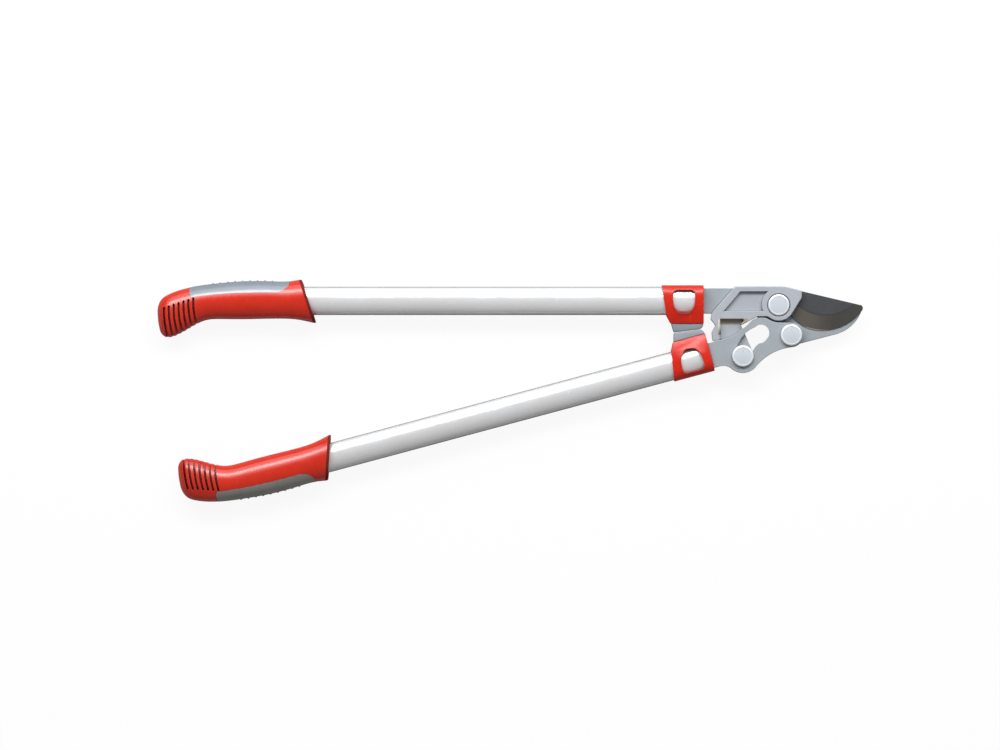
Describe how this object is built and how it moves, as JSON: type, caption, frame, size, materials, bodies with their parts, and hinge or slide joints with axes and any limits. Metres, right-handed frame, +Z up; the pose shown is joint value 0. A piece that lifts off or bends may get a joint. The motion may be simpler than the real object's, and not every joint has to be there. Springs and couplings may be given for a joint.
{
  "type": "bypass loppers",
  "caption": "Long-handled bypass loppers with a hook blade, a curved cutting blade in a cast carrier and a slot-and-pin lever drive.",
  "frame": {"origin": "on the main pivot's axis, at the end face of its bolt head, which the tool rests on when it lies flat", "axes": "+X from the grips to the jaws along the upper handle, +Z up through the plates, square to the cutting plane"},
  "size_m": [0.7498, 0.2367, 0.034],
  "materials": {
    "tube_aluminium": "satin anodised, lengthways drawn grain",
    "grip_red": "satin-gloss moulded plastic",
    "collar_red": "satin moulded plastic",
    "soft_grey": "matte soft-touch elastomer",
    "plug_black": "moulded plastic",
    "plate_grey": "matte blasted steel plate",
    "cast_grey": "satin cast surface",
    "blade_black": "charcoal non-stick coating with a ground bevel",
    "cap_bright": "satin-bright turned steel",
    "bolt_steel": "zinc-bright steel",
    "bush_bronze": "plain bronze"
  },
  "bodies": {
    "hook_handle": {"upper_tube": "tube_aluminium", "upper_grip": "grip_red", "upper_grip_insert": "soft_grey", "upper_collar": "collar_red", "upper_bumper": "soft_grey", "upper_tang_plug": "plug_black", "upper_tang_pins": "bolt_steel", "hook_plate": "plate_grey", "main_bolt": "bolt_steel", "main_washer": "bolt_steel", "main_cap": "cap_bright", "lever_bolt": "bolt_steel", "lever_spacer": "bolt_steel", "lever_cap": "cap_bright"},
    "blade_unit": {"blade": "blade_black", "blade_carrier": "cast_grey", "blade_bush": "bush_bronze", "carrier_screws": "bolt_steel", "drive_bolt": "bolt_steel", "drive_bush": "bush_bronze", "drive_cap": "cap_bright"},
    "lever_handle": {"lower_tube": "tube_aluminium", "lower_grip": "grip_red", "lower_grip_insert": "soft_grey", "lower_collar": "collar_red", "lower_bumper": "soft_grey", "lower_tang_plug": "plug_black", "lower_tang_pins": "bolt_steel", "lever_plate": "plate_grey"}
  },
  "joints": [
    {"name": "lever_pivot", "type": "hinge", "parent": "hook_handle", "child": "lever_handle", "pos_m": [0.0134, -0.0318, 0.017], "axis": [0, 0, 1], "range_deg": [0, 85]},
    {"name": "blade_pivot", "type": "hinge", "parent": "hook_handle", "child": "blade_unit", "pos_m": [0, 0, 0.017], "axis": [0, 0, 1], "range_deg": [0, 44.2]}
  ],
  "couplings": [
    {"joint": "blade_pivot", "follows": "lever_pivot", "ratio": 0.52}
  ]
}
